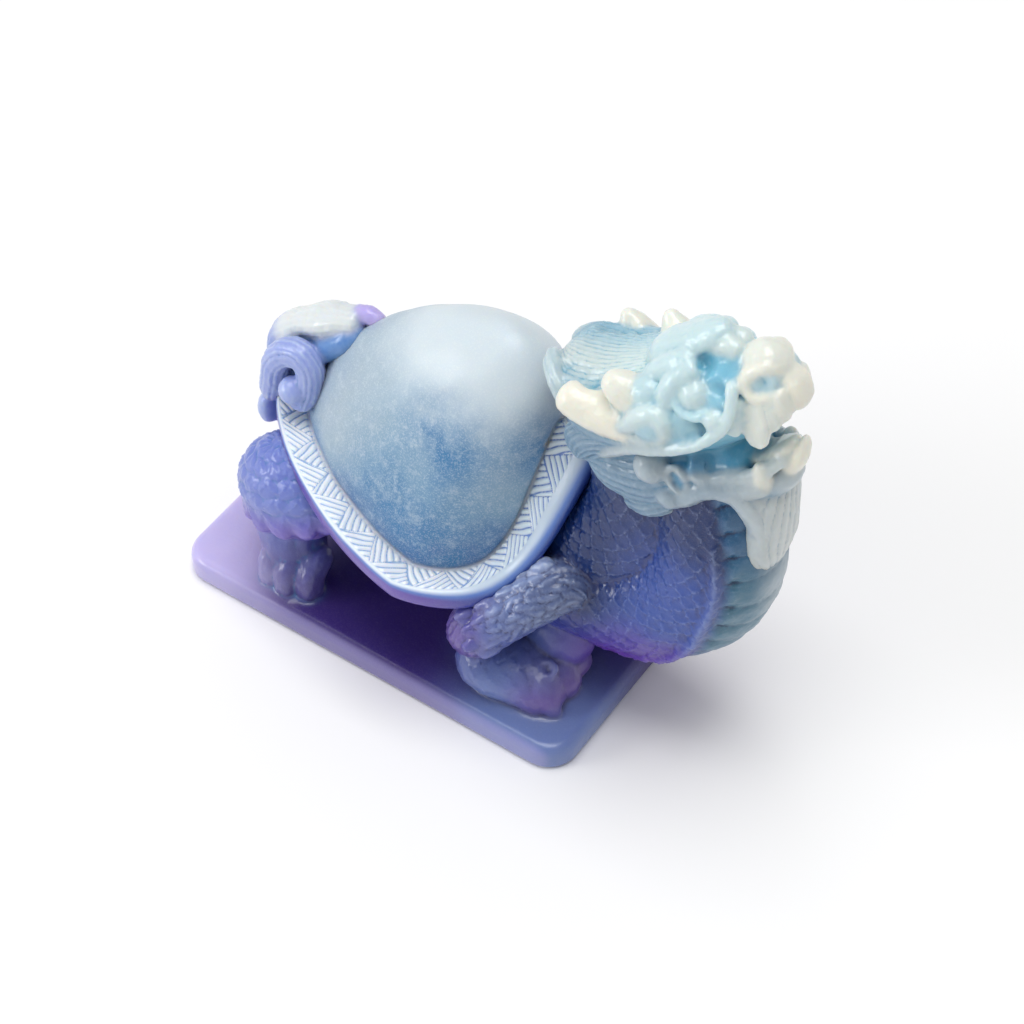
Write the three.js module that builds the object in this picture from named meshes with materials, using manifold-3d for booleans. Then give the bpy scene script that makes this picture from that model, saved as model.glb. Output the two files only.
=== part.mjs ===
// Dragon turtle figure: a small cast animal on a thin rectangular plate, all in one piece.
// Millimetres, +X towards the head, +Z up, origin at the centre of the plate's underside.
import * as THREE from 'three';
import { mergeVertices } from 'three/addons/utils/BufferGeometryUtils.js';
import Module from 'manifold-3d';

// The plate
const plateLength = 52;
const plateWidth = 32;
const plateThickness = 3.3;
const plateCorner = 3.5;
const plateRound = 1.2;
const plateChamfer = 0.4;

// The animal stands on the plate. Its limbs are drawn in figure units, of which its length has 66
const figureLength = 66;
const figureUnit = figureLength / 66;
const footDepth = 0.8;

// The shell: an egg-shaped rim, low at the sides and raised at both ends, with a tall dome inside it
const shellWidth = 32;
const shellFront = 14.5;
const shellRear = 25;
const shellMiddle = 4;
const shellPoint = 1.75;
const rimHeight = 16.7;
const rimFrontRise = 18;
const rimFrontPower = 3.3;
const rimRearRise = 2;
const rimRearPower = 1.5;
const rimBand = 3.2;
const rimThickness = 3.4;
const rimRound = 0.5;
const rimSlope = 0.7;
const domeHeight = 41.3;
const domeLean = 5;
const domeShrink = 1.15;
const domeSwell = 1.32;

// The head: drawn in head units, of which its length has 28
const headLength = 28;
const headUnit = headLength / 28;
const headPitch = 22;
const headPlace = [30, 0, 46.7];
const eyeRadius = 1.7;

const skinColour = 0x8fa9dc;
const turn = 2 * Math.PI;

// A power that keeps the sign, for pointed and squared-off ovals
function signedPower(value, power) {
  return Math.sign(value) * Math.abs(value) ** power;
}

// A closed skin through rings of points, ending in a point at each end
function skin(rings, startTip, endTip) {
  const sides = rings[0].length;
  const points = rings.flat();
  points.push(startTip, endTip);
  const start = points.length - 2;
  const end = points.length - 1;
  const lastRing = (rings.length - 1) * sides;
  const faces = [];
  for (let side = 0; side < sides; side++) {
    const next = (side + 1) % sides;
    for (let ring = 0; ring < rings.length - 1; ring++) {
      const low = ring * sides;
      const high = low + sides;
      faces.push(low + side, low + next, high + next);
      faces.push(low + side, high + next, high + side);
    }
    faces.push(start, next, side);
    faces.push(end, lastRing + side, lastRing + next);
  }
  return fromPoints(points, faces);
}

function fromPoints(points, faces) {
  const geometry = new THREE.BufferGeometry().setFromPoints(points);
  geometry.setIndex(faces);
  return geometry;
}

// The middle of a ring of points
function middleOf(ring) {
  const sum = new THREE.Vector3();
  for (const point of ring) {
    sum.add(point);
  }
  return sum.divideScalar(ring.length);
}

// A limb: oval rings carried along a smooth path. A station is [x, y, z, half width, half depth],
// the width runs along Y as far as the path lets it, and both ends are rounded over a share of the length
function limb(stations, { sides, steps, round = [0.2, 0.2], relief }) {
  const path = new THREE.CatmullRomCurve3(stations.map((s) => new THREE.Vector3(s[0], s[1], s[2])));
  const sizes = new THREE.CatmullRomCurve3(stations.map((s) => new THREE.Vector3(s[3], s[4], 0)));
  const rings = [];
  for (let step = 1; step < steps; step++) {
    const along = step / steps;
    const size = sizes.getPoint(along);
    const fromStart = Math.min(along / round[0], 1);
    const fromEnd = Math.min((1 - along) / round[1], 1);
    const taper = Math.sqrt((1 - (1 - fromStart) ** 2) * (1 - (1 - fromEnd) ** 2));
    const heading = path.getTangent(along);
    const wide = new THREE.Vector3(0, 1, 0);
    wide.addScaledVector(heading, -wide.dot(heading)).normalize();
    const deep = new THREE.Vector3().crossVectors(heading, wide);
    const ring = [];
    for (let side = 0; side < sides; side++) {
      const angle = (turn * side) / sides;
      const swell = taper * (1 + (relief ? relief(along, angle) : 0));
      const point = path.getPoint(along);
      point.addScaledVector(wide, size.x * swell * Math.cos(angle));
      point.addScaledVector(deep, size.y * swell * Math.sin(angle));
      ring.push(point);
    }
    rings.push(ring);
  }
  return skin(rings, path.getPoint(0), path.getPoint(1));
}

// An egg-shaped lump: its middle, its half sizes, how many sides it has, and its turn about Y in degrees
function lump(middle, sizes, sides, degrees = 0) {
  const geometry = new THREE.SphereGeometry(1, sides, Math.round(sides * 0.6));
  geometry.rotateX(Math.PI / 2);
  geometry.scale(...sizes);
  geometry.rotateY(THREE.MathUtils.degToRad(degrees));
  geometry.translate(...middle);
  return geometry;
}

// The same forms on the far side of the animal, with their faces turned to point outwards again
function mirrored(forms) {
  return forms.map((form) => {
    const copy = form.clone();
    copy.scale(1, -1, 1);
    return copy;
  });
}

function bothSides(forms) {
  return [...forms, ...mirrored(forms)];
}

// The plate: one rounded rectangle repeated at rising heights, its upper edge rounded
function plate() {
  const outline = (inset, height) => {
    const corner = plateCorner - inset;
    const ring = [];
    for (let quarter = 0; quarter < 4; quarter++) {
      const signX = quarter === 0 || quarter === 3 ? 1 : -1;
      const signY = quarter < 2 ? 1 : -1;
      const middleX = signX * (plateLength / 2 - plateCorner);
      const middleY = signY * (plateWidth / 2 - plateCorner);
      for (let step = 0; step <= 4; step++) {
        const angle = (turn / 4) * (quarter + step / 4);
        const x = middleX + corner * Math.cos(angle);
        const y = middleY + corner * Math.sin(angle);
        ring.push(new THREE.Vector3(x, y, height));
      }
    }
    return ring;
  };
  const rings = [outline(plateChamfer, 0), outline(0, plateChamfer)];
  for (let step = 0; step <= 3; step++) {
    const angle = (turn / 4) * (step / 3);
    const inset = plateRound * (1 - Math.cos(angle));
    rings.push(outline(inset, plateThickness - plateRound * (1 - Math.sin(angle))));
  }
  return skin(rings, middleOf(rings[0]), middleOf(rings.at(-1)));
}

// The shell's edge line: an egg in plan, with a height that climbs towards both ends. It can be drawn
// further in, lower all round, and lower at the front alone
function edgePoint(angle, inset, drop, frontDrop) {
  const c = Math.cos(angle);
  const s = Math.sin(angle);
  const reach = (c > 0 ? shellFront : shellRear) - inset;
  const x = shellMiddle + reach * signedPower(c, 2 / shellPoint);
  const y = (shellWidth / 2 - inset) * signedPower(s, 2 / shellPoint);
  const front = (rimFrontRise - frontDrop) * Math.max(c, 0) ** rimFrontPower;
  const rear = rimRearRise * Math.max(-c, 0) ** rimRearPower;
  return new THREE.Vector3(x, y, rimHeight + front + rear - drop);
}

// The shell: up from its hollow underside round the rim's edge, over the sloping band,
// and then the rim's inner line drawn together towards a leaning top
function shell() {
  const sides = 36;
  const levels = 7;
  const around = [...Array(sides).keys()].map((side) => (turn * side) / sides);
  const line = (inset, drop, frontDrop) => around.map((angle) => edgePoint(angle, inset, drop, frontDrop));
  const rings = [
    line(rimBand + 2, rimThickness, 2),
    line(2 * rimRound, rimThickness, 2),
    line(0, rimThickness * 0.6, 1),
    line(0, rimRound, 0),
    line(rimRound, 0, 0),
    line(rimBand, -rimSlope, 2 * rimSlope),
  ];
  const inner = rings.at(-1);
  for (let level = 1; level < levels; level++) {
    const angle = (turn / 4) * (level / levels);
    const shrink = Math.cos(angle) ** domeShrink;
    const rise = Math.sin(angle) ** domeSwell;
    rings.push(inner.map((point) => new THREE.Vector3(
      shellMiddle + (point.x - shellMiddle) * shrink + domeLean * rise,
      point.y * shrink,
      point.z + (domeHeight - point.z) * rise,
    )));
  }
  const top = new THREE.Vector3(shellMiddle + domeLean, 0, domeHeight);
  return skin(rings, middleOf(rings[0]), top);
}

// The trunk under the shell, and the nape that fills in between the shell's front and the neck
function trunk() {
  return [
    lump([-3, 0, 15.5], [20, 11.5, 9], 12, -4),
    lump([11, 0, 15.5], [9, 10.5, 8.5], 10, -20),
    lump([24.5, 0, 26], [6.5, 5.4, 14], 10, 12),
  ];
}

// The neck and chest: a thick curve that swings out over the plate's front and up to the head.
// Rows of scales cover its sides, and broad bands cross its front
function neck() {
  const stations = [
    [8, 0, 15.5, 9, 7.5],
    [17, 0, 13.6, 8.4, 7.8],
    [25, 0, 14, 7.8, 7.8],
    [31.6, 0, 18, 7.2, 7.6],
    [34.6, 0, 25, 6.8, 7],
    [33.6, 0, 33, 6.4, 6.6],
    [30, 0, 41, 5.6, 6],
  ];
  const bands = 9;
  const relief = (along, angle) => {
    const front = -Math.sin(angle);
    if (front > 0.6) {
      return 0.05 * ((along * bands) % 1) - 0.02;
    }
    const row = along * bands;
    const column = (angle / turn) * 9 + (Math.floor(row) % 2) * 0.5;
    return 0.03 * (row % 1) * Math.abs(Math.sin(column * Math.PI));
  };
  return limb(stations, { sides: 18, steps: 18, round: [0.1, 0.1], relief });
}

// The front leg: an upper arm that runs back to the elbow, and a forearm that lies forward on the plate
function frontLeg() {
  const upper = [
    [21, -7, 19, 3.6, 4],
    [17.5, -9.5, 14.6, 4.2, 4.6],
    [13.4, -11.2, 9.4, 3.8, 4.4],
    [9.8, -11.8, 5, 2.8, 3.2],
  ];
  const fore = [
    [10.2, -12, 4.2, 2.4, 2.8],
    [13.8, -10.6, 2.6, 3.9, 3.2],
    [18, -8.6, 2.2, 4.8, 3.4],
    [23, -8.2, 1, 3.8, 2.2],
  ];
  const toes = [-11.6, -8.6, -5.6].map((y, index) => {
    const tip = 23.8 - Math.abs(index - 1) * 1.2;
    const stations = [[17, y, 2.4, 1.4, 1.7], [20.8, y, 2.5, 1.8, 2], [tip, y, 0.6, 1.2, 1.1]];
    return limb(stations, { sides: 6, steps: 4 });
  });
  return [
    limb(upper, { sides: 10, steps: 6 }),
    limb(fore, { sides: 9, steps: 6 }),
    lump([18.4, -4.5, 5.4], [4.2, 3.6, 4.8], 8),
    ...toes,
  ];
}

// The rear leg: a scaly thigh with a lobed lower edge over a short foot that turns outwards
function rearLeg() {
  const shin = [
    [-15, -8.5, 9, 4.5, 4.5],
    [-14.5, -10.2, 4, 4, 4],
    [-13.5, -11, -footDepth, 4, 4],
  ];
  const toes = [-1, 0, 1].map((index) => {
    const x = -13.4 + index * 2.6;
    const y = -13 - (1 - Math.abs(index)) * 0.8 + index * 0.4;
    const stations = [[x, y + 3.4, 5, 1.6, 1.6], [x, y, 2.6, 1.7, 1.7], [x + 0.4, y - 1, -0.4, 1.5, 1.4]];
    return limb(stations, { sides: 6, steps: 4 });
  });
  return [
    lump([-14, -8.5, 12], [7.2, 5.5, 6.3], 12, -18),
    limb(shin, { sides: 9, steps: 5 }),
    ...toes,
  ];
}

// The tail: a plume that climbs the shell's rear, with a curled lock on each side
function tail() {
  const stations = [
    [-15.6, 0, 9, 4, 4.4],
    [-20.8, 0, 12, 4, 2.8],
    [-20.8, 0, 17, 4.2, 2.8],
    [-19.2, 0, 22.6, 4.4, 3],
    [-16, 0, 27, 4, 2.6],
    [-12.2, 0, 29, 2.4, 1.6],
  ];
  const locks = (along, angle) => 0.08 * Math.cos(angle * 5);
  return [
    limb(stations, { sides: 15, steps: 8, relief: locks }),
    ...bothSides([curl([-15.4, -3.9, 24.8], 3.4, 2.2)]),
    ...bothSides([lump([-20.4, -3.2, 15.2], [1.8, 1.9, 2.4], 7)]),
  ];
}

// A curl: a tapering tube that winds inwards round its middle, in a plane across Y
function curl(middle, radius, thickness) {
  const stations = [];
  const turns = 1.35;
  for (let step = 0; step <= 12; step++) {
    const share = step / 12;
    const angle = turn * (0.45 - turns * share);
    const reach = radius * (1 - 0.82 * share) - thickness * 0.5;
    const size = thickness * (0.62 - 0.22 * share);
    const x = middle[0] + reach * Math.cos(angle);
    const z = middle[2] + reach * Math.sin(angle);
    stations.push([x, middle[1] - 1.4 * share, z, size, size]);
  }
  return limb(stations, { sides: 6, steps: 12, round: [0.1, 0.08] });
}

// The head, in its own frame: x forward to the snout, z up, and drawn about its middle
function head() {
  const skull = [
    [-13, 0, 1.5, 3.4, 3],
    [-7, 0, -1, 5.8, 4.8],
    [0, 0, -1.2, 6.2, 5],
    [5, 0, 0, 5, 4.4],
    [9, 0, 1.2, 3.8, 3.8],
    [12.2, 0, 1.4, 2.4, 2.4],
  ];
  const paired = [...brow(), ...cheek(), ...hornsAndEar(), ...muzzle(), ...sideHair()];
  const forms = [
    limb(skull, { sides: 11, steps: 7 }),
    lump([-4.4, 0, -5], [7.2, 5.6, 6.2], 10),
    ...crown(),
    ...lowerJaw(),
    ...bothSides(paired),
  ];
  const size = new THREE.Matrix4().makeScale(headUnit, headUnit, headUnit);
  const pitch = new THREE.Matrix4().makeRotationY(-THREE.MathUtils.degToRad(headPitch));
  const place = new THREE.Matrix4().makeTranslation(...headPlace);
  place.multiply(pitch).multiply(size);
  return forms.map((form) => form.applyMatrix4(place));
}

// A thin limb of the head, with few sides
function strand(stations, steps = 5) {
  return limb(stations, { sides: 6, steps });
}

function knob(middle, radius) {
  return lump(middle, [radius, radius, radius], 7);
}

// The crown: hair swept back from the forehead in a fan, the pointed crest, and the round nose
function crown() {
  const combed = (along, angle) => 0.05 * Math.cos(angle * 7);
  const fan = [
    [2, 0, 1.8, 3, 1.8],
    [-3, 0, 0.2, 5.2, 3.4],
    [-8, 0, -0.4, 6.2, 3.4],
    [-12, 0, 0.8, 5.6, 2.8],
    [-14.2, 0, 3, 3.2, 1.2],
  ];
  const crest = [
    [-2, 0, 4.4, 2.2, 1.4],
    [2.4, 0, 5.4, 2.4, 1.6],
    [6.9, 0, 7.8, 0.9, 0.7],
  ];
  return [
    limb(fan, { sides: 14, steps: 7, relief: combed }),
    limb(crest, { sides: 8, steps: 5 }),
    lump([9.9, 0, 4], [2.2, 2.3, 2], 8),
  ];
}

// The brow: a long lobe, a ridge that winds down behind the eye, and the eye
function brow() {
  const lobe = [
    [-0.4, -4, 3.8, 1, 0.9],
    [2.1, -3, 4.6, 1.3, 1],
    [4, -2, 4.9, 0.8, 0.7],
  ];
  const ridge = [
    [4, -2.6, 4.6, 0.8, 0.7],
    [2.2, -4.2, 3.8, 0.8, 0.8],
    [1.4, -5, 2.4, 0.8, 0.8],
    [0, -5.8, 1, 0.7, 0.7],
  ];
  return [
    strand(lobe),
    strand(ridge),
    knob([3.9, -3.8, 2.5], eyeRadius),
  ];
}

// The cheek: a lip ridge that runs round under the eye and up to the nose, with knobs above and below
function cheek() {
  const ridge = [
    [-8.4, -6.6, -5, 0.8, 0.9],
    [-4.4, -7, -4, 0.9, 1],
    [-1.3, -7, -3, 0.9, 1],
    [2, -6.6, -2.2, 0.9, 1],
    [5.2, -5.8, -1, 0.9, 1],
    [7.6, -4.6, 1, 0.8, 1],
    [8.4, -3.4, 3.8, 0.7, 0.8],
  ];
  return [
    strand(ridge, 8),
    knob([5.2, -4.6, 1], 1.3),
    knob([-3.3, -5.8, -6.4], 1.7),
    knob([-2.4, -5.2, -9.6], 1.5),
  ];
}

// The antler, with a long round prong that lies back and a short one that stands up, and the leaf-shaped ear
function hornsAndEar() {
  const longProng = [
    [-0.6, -5.8, 0, 1.3, 1.3],
    [-4.4, -6.2, -0.2, 1.4, 1.5],
    [-7.8, -6.2, 0.9, 1.3, 1.4],
    [-11.9, -6.5, 2.2, 1.3, 1.3],
  ];
  const shortProng = [
    [-1.4, -4.8, 1, 1.2, 1.2],
    [-3.4, -5, 2.2, 1.4, 1.4],
    [-4.8, -5.2, 4.4, 1.3, 1.3],
  ];
  const ear = [
    [-4.4, -7.3, -0.8, 0.5, 0.7],
    [-1.4, -7.1, -0.2, 0.9, 1.4],
    [0.6, -6.9, 1, 0.9, 1.3],
    [1.8, -6.6, 1.2, 0.6, 0.8],
  ];
  return [strand(longProng), strand(shortProng), strand(ear)];
}

// The muzzle: a nostril wing that curls round a hollow, lobes of lip below it, and teeth at the front
function muzzle() {
  const wing = [];
  for (let step = 0; step <= 6; step++) {
    const angle = turn * (0.05 + (0.75 * step) / 6);
    const reach = 1.15;
    wing.push([10.4 + reach * Math.cos(angle), -2.3, 3.1 + reach * Math.sin(angle), 0.7, 0.7]);
  }
  const frontLip = [
    [10, -3, 2, 1, 1.2],
    [9, -3, -1, 1.1, 1.4],
    [8.2, -2.8, -4.4, 0.7, 0.9],
  ];
  const sideLip = [
    [7, -4, 0, 1, 1.2],
    [6, -4.4, -1.6, 1.1, 1.2],
    [5.2, -4.4, -3.2, 0.7, 0.8],
  ];
  const tooth = [
    [11, -1.2, 2.2, 1, 1.2],
    [12, -1, 1, 0.9, 1],
    [12.2, -0.8, -0.8, 0.4, 0.4],
  ];
  return [strand(wing, 7), strand(frontLip), strand(sideLip, 4), strand(tooth, 4)];
}

// The lower jaw with its front spike, a fang on each side, and the beard that runs down to the chest
function lowerJaw() {
  const jaw = [
    [-6, 0, -7.6, 5.4, 3],
    [0, 0, -9, 5.2, 2.4],
    [4.6, 0, -9.6, 4.2, 2.2],
    [7.8, 0, -9.2, 2.8, 2],
    [9.6, 0, -7.6, 1.6, 1.2],
  ];
  const beard = [
    [6.8, 0, -9, 3.2, 2],
    [5.4, 0, -13.4, 3.8, 2.3],
    [3.6, 0, -18, 3.6, 2.1],
    [1.6, 0, -22.4, 2.4, 1.5],
  ];
  const spike = [
    [8.4, 0, -8.6, 1.8, 1.4],
    [10, 0, -7, 1.2, 1],
    [11, 0, -4.6, 0.4, 0.4],
  ];
  const fang = [
    [6.2, -2.4, -10, 1, 1],
    [7.2, -2.6, -7.6, 0.9, 0.9],
    [8, -2.6, -5.4, 0.3, 0.3],
  ];
  return [
    limb(jaw, { sides: 9, steps: 6 }),
    limb(beard, { sides: 9, steps: 6 }),
    strand(spike, 4),
    ...bothSides([strand(fang, 4)]),
  ];
}

// Hair at the side of the head: locks swept back under the antler, and a tuft behind the jaw
function sideHair() {
  const combed = (along, angle) => 0.1 * Math.cos(angle * 4);
  const locks = [
    [-1, -5, -1, 1.8, 2.4],
    [-5.5, -5.2, -1.6, 2, 3.4],
    [-9.5, -5, -0.6, 1.8, 3.2],
    [-12.4, -4.4, 1.4, 0.8, 1.4],
  ];
  const tuft = [
    [-0.6, -4.6, -8, 1.2, 2.2],
    [-5, -4.8, -8.8, 1.8, 3.2],
    [-9, -4.8, -7.8, 1.6, 2.8],
    [-12.2, -4.6, -6.4, 0.6, 0.8],
  ];
  return [locks, tuft].map((stations) => limb(stations, { sides: 11, steps: 5, relief: combed }));
}

// One closed solid from a geometry, its faces turned outwards
function solidOf(wasm, geometry) {
  geometry.deleteAttribute('normal');
  geometry.deleteAttribute('uv');
  const merged = mergeVertices(geometry, 1e-5);
  const index = merged.index.array;
  const point = merged.attributes.position.array;
  const corner = (i) => new THREE.Vector3().fromArray(point, index[i] * 3);
  let volume = 0;
  for (let i = 0; i < index.length; i += 3) {
    volume += corner(i).dot(corner(i + 1).cross(corner(i + 2)));
  }
  const triVerts = Uint32Array.from(index);
  if (volume < 0) {
    triVerts.reverse();
  }
  return new wasm.Manifold(new wasm.Mesh({ numProp: 3, vertProperties: Float32Array.from(point), triVerts }));
}

function meshFrom(name, solid) {
  const { vertProperties, triVerts } = solid.getMesh();
  const geometry = new THREE.BufferGeometry();
  geometry.setAttribute('position', new THREE.BufferAttribute(vertProperties, 3));
  geometry.setIndex(new THREE.BufferAttribute(triVerts, 1));
  geometry.computeVertexNormals();
  const material = new THREE.MeshStandardMaterial({ color: skinColour, roughness: 0.35, metalness: 0 });
  const mesh = new THREE.Mesh(geometry, material);
  mesh.name = name;
  return mesh;
}

// The animal's forms, drawn over the plate's top face and set down on it
function animal() {
  const limbs = [...trunk(), neck(), ...bothSides([...frontLeg(), ...rearLeg()]), ...tail(), ...head()];
  const place = new THREE.Matrix4().makeTranslation(0, 0, plateThickness);
  const size = new THREE.Matrix4().makeScale(figureUnit, figureUnit, figureUnit);
  const drawn = limbs.map((form) => form.applyMatrix4(size));
  return [shell(), ...drawn].map((form) => form.applyMatrix4(place));
}

const wasm = await Module();
wasm.setup();
let figure = solidOf(wasm, plate());
for (const form of animal()) {
  figure = figure.add(solidOf(wasm, form));
}

const group = new THREE.Group();
group.add(meshFrom('dragon_turtle', figure));

export default group;
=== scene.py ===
# Dragon turtle figure, one milky casting on its plate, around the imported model
import math
import bmesh
import bpy
import numpy as np
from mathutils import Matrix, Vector


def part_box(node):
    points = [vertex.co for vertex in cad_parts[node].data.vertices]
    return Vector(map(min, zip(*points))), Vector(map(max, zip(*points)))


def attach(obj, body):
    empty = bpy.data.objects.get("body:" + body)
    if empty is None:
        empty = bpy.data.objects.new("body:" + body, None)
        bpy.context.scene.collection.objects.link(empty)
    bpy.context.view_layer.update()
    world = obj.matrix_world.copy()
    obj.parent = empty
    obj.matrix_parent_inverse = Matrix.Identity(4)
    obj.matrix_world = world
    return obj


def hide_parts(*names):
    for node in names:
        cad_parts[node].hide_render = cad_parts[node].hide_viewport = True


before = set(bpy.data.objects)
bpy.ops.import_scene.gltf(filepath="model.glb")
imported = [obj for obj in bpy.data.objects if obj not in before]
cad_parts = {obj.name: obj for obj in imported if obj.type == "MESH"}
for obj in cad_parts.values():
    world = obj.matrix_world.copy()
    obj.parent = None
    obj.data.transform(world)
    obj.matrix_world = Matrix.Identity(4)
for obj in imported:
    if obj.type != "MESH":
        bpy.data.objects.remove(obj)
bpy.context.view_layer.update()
nodeLow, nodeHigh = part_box("dragon_turtle")

# Lengths below are millimetres of a figure this long; "unit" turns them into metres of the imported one
figure = {
    "length": 68.7,
    "plateTop": 3.3,
    "spacing": 0.2,  # fineness of the drawn forms
    "mostTriangles": 190000,
}
unit = (nodeHigh.x - nodeLow.x) / figure["length"]
turn = 2 * math.pi

# The forms of each fused piece: closed grids of points, and what the skin carries there
forms = {"body": [], "head": []}


# Smooth path through knots at shares t of its length in knots: centripetal Catmull-Rom,
# whose tangent at a knot is the difference quotient over gaps of distance to the power 1/2
def pathThrough(knots, t):
    knots = np.asarray(knots, float)
    last = len(knots) - 1
    start = np.minimum((t * last).astype(int), last - 1)
    part = (t * last - start)[:, None]
    padded = np.vstack([2 * knots[0] - knots[1], knots, 2 * knots[-1] - knots[-2]])
    p0, p1, p2, p3 = (padded[start + shift] for shift in range(4))
    g0, g1, g2 = (np.maximum(np.linalg.norm(b - a, axis=1, keepdims=True), 1e-6) ** 0.5
                  for a, b in ((p0, p1), (p1, p2), (p2, p3)))
    m1 = ((p1 - p0) / g0 - (p2 - p0) / (g0 + g1) + (p2 - p1) / g1) * g1
    m2 = ((p2 - p1) / g1 - (p3 - p1) / (g1 + g2) + (p3 - p2) / g2) * g1
    c2 = 3 * (p2 - p1) - 2 * m1 - m2
    c3 = 2 * (p1 - p2) + m1 + m2
    return p1 + part * (m1 + part * (c2 + part * c3))


# A step from 0 to 1 as value goes from low to high: 3t^2 - 2t^3
def ease(value, low, high):
    t = np.clip((value - low) / (high - low), 0, 1)
    return t * t * (3 - 2 * t)


# Keeps one form: its points in figure millimetres over the plate's top, and what its skin carries:
# across and along (places in its pattern), the heights of the patterns in mm, and its colour shares
def keep(points, place=None, sides=False, **carried):
    group = forms["body" if place is None else "head"]
    if place is not None:
        points = place(points)
    shape = points.shape[:2]
    carried = {name: np.broadcast_to(np.asarray(v, float), shape) for name, v in carried.items()}
    group.append((points, carried))
    if sides:  # the same form on the far side, its columns turned round to keep its faces outwards
        group.append(((points * (1, -1, 1))[:, ::-1], {name: v[:, ::-1] for name, v in carried.items()}))


# A limb: ovals (width·cos a along Y, depth·sin a across it) carried along a smooth path.
# A knot is [x, y, z, half width, half depth], or [x, y, z, radius] where the limb is round. Both ends
# are rounded as sqrt(1 - (1 - t)^2).
# swell(along, angle) scales the ovals, pattern(along, angle, s) gives what the skin carries
def limb(knots, rounding=(0.2, 0.2), swell=None, pattern=None, **carried):
    knots = np.array([[*knot, knot[3]][:5] for knot in knots], float)
    span = np.linalg.norm(np.diff(knots[:, :3], axis=0), axis=1).sum()
    steps = int(max(14, span / figure["spacing"] * 1.2))
    sides = int(max(16, turn * knots[:, 3:].max() / figure["spacing"]))
    along = np.linspace(0, 1, steps + 1)
    along = 0.5 * along + 0.25 * (1 - np.cos(along * math.pi))
    path = pathThrough(knots[:, :3], along)
    sizes = pathThrough(np.column_stack([knots[:, 3:], knots[:, 3] * 0]), along)
    ahead = np.gradient(path, axis=0)
    ahead /= np.linalg.norm(ahead, axis=1, keepdims=True) + 1e-12
    wide = (0, 1, 0) - ahead[:, 1:2] * ahead
    wide /= np.linalg.norm(wide, axis=1, keepdims=True) + 1e-12
    deep = np.cross(ahead, wide)
    first = np.clip(along / rounding[0], 0, 1)
    second = np.clip((1 - along) / rounding[1], 0, 1)
    taper = np.sqrt((1 - (1 - first) ** 2) * (1 - (1 - second) ** 2))
    a, v = np.meshgrid(np.linspace(0, turn, sides + 1), along)
    size = taper[:, None] * (1 + (swell(v, a) if swell else 0))
    points = (path[:, None] + wide[:, None] * (sizes[:, 0:1] * size * np.cos(a))[..., None]
              + deep[:, None] * (sizes[:, 1:2] * size * np.sin(a))[..., None])
    if pattern:
        carried.update(pattern(v, a, v * span))
    keep(points, **carried)


# Turned about Y by degrees: x·cos + z·sin, y, z·cos - x·sin
def turned(x, y, z, degrees):
    c, s = math.cos(math.radians(degrees)), math.sin(math.radians(degrees))
    return np.stack([x * c + z * s, y, z * c - x * s], -1)


# A lump: an egg x = p·sin v·cos a, y = q·sin v·sin a, z = r·cos v about its middle, tilted about Y
def lump(middle, sizes, tilt=0, swell=None, pattern=None, **carried):
    rows = int(max(12, math.pi * max(sizes) / figure["spacing"]))
    a, v = np.meshgrid(np.linspace(0, turn, 2 * rows + 1), np.linspace(0, math.pi, rows + 1))
    grow = 1 + (swell(v, a) if swell else 0)
    x, y, z = sizes[0] * np.sin(v) * np.cos(a), sizes[1] * np.sin(v) * np.sin(a), sizes[2] * np.cos(v)
    x, y, z = x * grow, y * grow, z * grow
    points = turned(x, y, z, tilt) + middle
    if pattern:
        carried.update(pattern(v, a, v * max(sizes)))
    keep(points, **carried)


# Combed hair round a form: count ridges, depth mm, turned a little as they go along
def combed(count, depth, twist=0):
    return lambda along, angle, s: {"across": count * angle / turn + twist * along, "hair": depth}


# Combed hair on a broad form: count ridges side by side over its width
def combedWide(count, depth, bend=0):
    return lambda along, angle, s: {
        "across": 0.5 * count * (np.cos(angle) + bend * np.sin(math.pi * along)), "hair": depth}


# Ridges |cos|^0.8, with soft tops and sharp grooves between
def hairWave(across):
    return np.abs(np.cos(math.pi * across)) ** 0.8 - 0.6


# Scales: a net one wide and one high. Row j has its scales' middles at along = j, and each reaches down
# in an arc (dx/0.52)^2 + (dy/1.25)^2 = 1 over the rows below it; the arc is a raised lip
def scaleNet(across, along):
    covered = np.zeros(across.shape, bool)
    height = np.zeros(across.shape)
    row = np.floor(along)
    for step in (2, 1, 0):
        j = row + step
        dx = across - 0.5 * np.mod(j, 2)
        dx = dx - np.round(dx)
        dy = np.maximum(j - along, 0)
        reach = np.sqrt((dx / 0.52) ** 2 + (dy / 1.25) ** 2)
        inside = (reach < 1) & ~covered
        edge = np.exp(-((1 - reach) / 0.15) ** 2) * (j > along)
        height = np.where(inside, edge + 0.3 * (reach - 0.5), height)
        covered |= inside
    return height


# Curls: round knobs in staggered rows, (1 - d^2/0.3)^0.6, one wide and one high
def curlNet(across, along):
    j = np.round(along)
    dx = across - 0.5 * np.mod(j, 2)
    dx = dx - np.round(dx)
    return np.clip(1 - (dx ** 2 + (along - j) ** 2) / 0.3, 0, 1) ** 0.6 - 0.3


# The weave of the rim: a zigzag parts the band into facing triangles, each ruled with ridges |cos|^0.9
# along its own slant, 0.8·along plus or minus 0.6·width, bent a little by sines
def weave(across, along):
    zigzag = np.abs(np.mod(along / shell["weaveBlock"], 1) * 2 - 1)
    wide = across * (shell["band"] + 0.6)
    slant = np.where(across > zigzag, along * 0.8 + wide * 0.6, along * 0.8 - wide * 0.6)
    slant = slant + 0.07 * np.sin(along * 1.3) + 0.04 * np.sin(along * 3.1 + 2)
    fade = ease(across, 0.03, 0.1) * (1 - ease(across, 0.93, 0.99))
    seam = np.minimum(np.abs(across - zigzag) / 0.05, 1)
    return (np.abs(np.cos(math.pi * slant / shell["weavePitch"])) ** 0.9 * seam - 0.5) * fade


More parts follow.
